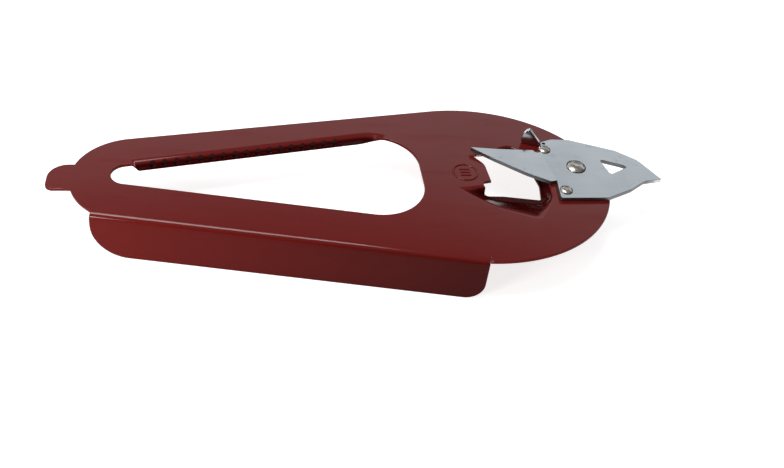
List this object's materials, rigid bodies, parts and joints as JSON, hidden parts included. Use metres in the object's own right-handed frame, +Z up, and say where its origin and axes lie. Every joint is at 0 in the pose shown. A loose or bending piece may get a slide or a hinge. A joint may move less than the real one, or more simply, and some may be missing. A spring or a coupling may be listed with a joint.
{
  "type": "manual can opener",
  "caption": "Pressed-steel lever opener with a riveted can-cutting blade and piercing point, a crown-cap hook and a toothed tapering grip for jar lids.",
  "frame": {"origin": "bottom centre of the whole object's box: below the middle of the tool, level with the lower edge of the stiffening flange", "axes": "+X from the prying tab to the piercing point, +Y across the tool away from the flange, +Z up out of the sheet on the cutter plate's side"},
  "size_m": [0.2104, 0.0825, 0.0229],
  "materials": {
    "red_lacquer": "glossy red lacquer on pressed sheet steel",
    "chrome_plating": "bright chrome plating, slightly dulled by handling",
    "rivet_steel": "plated rivet steel with a warm grey sheen"
  },
  "bodies": {
    "root": {"body_plate": "red_lacquer", "cutter_plate": "chrome_plating", "centre_rivet": "rivet_steel", "small_rivet_far": "rivet_steel", "small_rivet_near": "rivet_steel"}
  },
  "joints": []
}
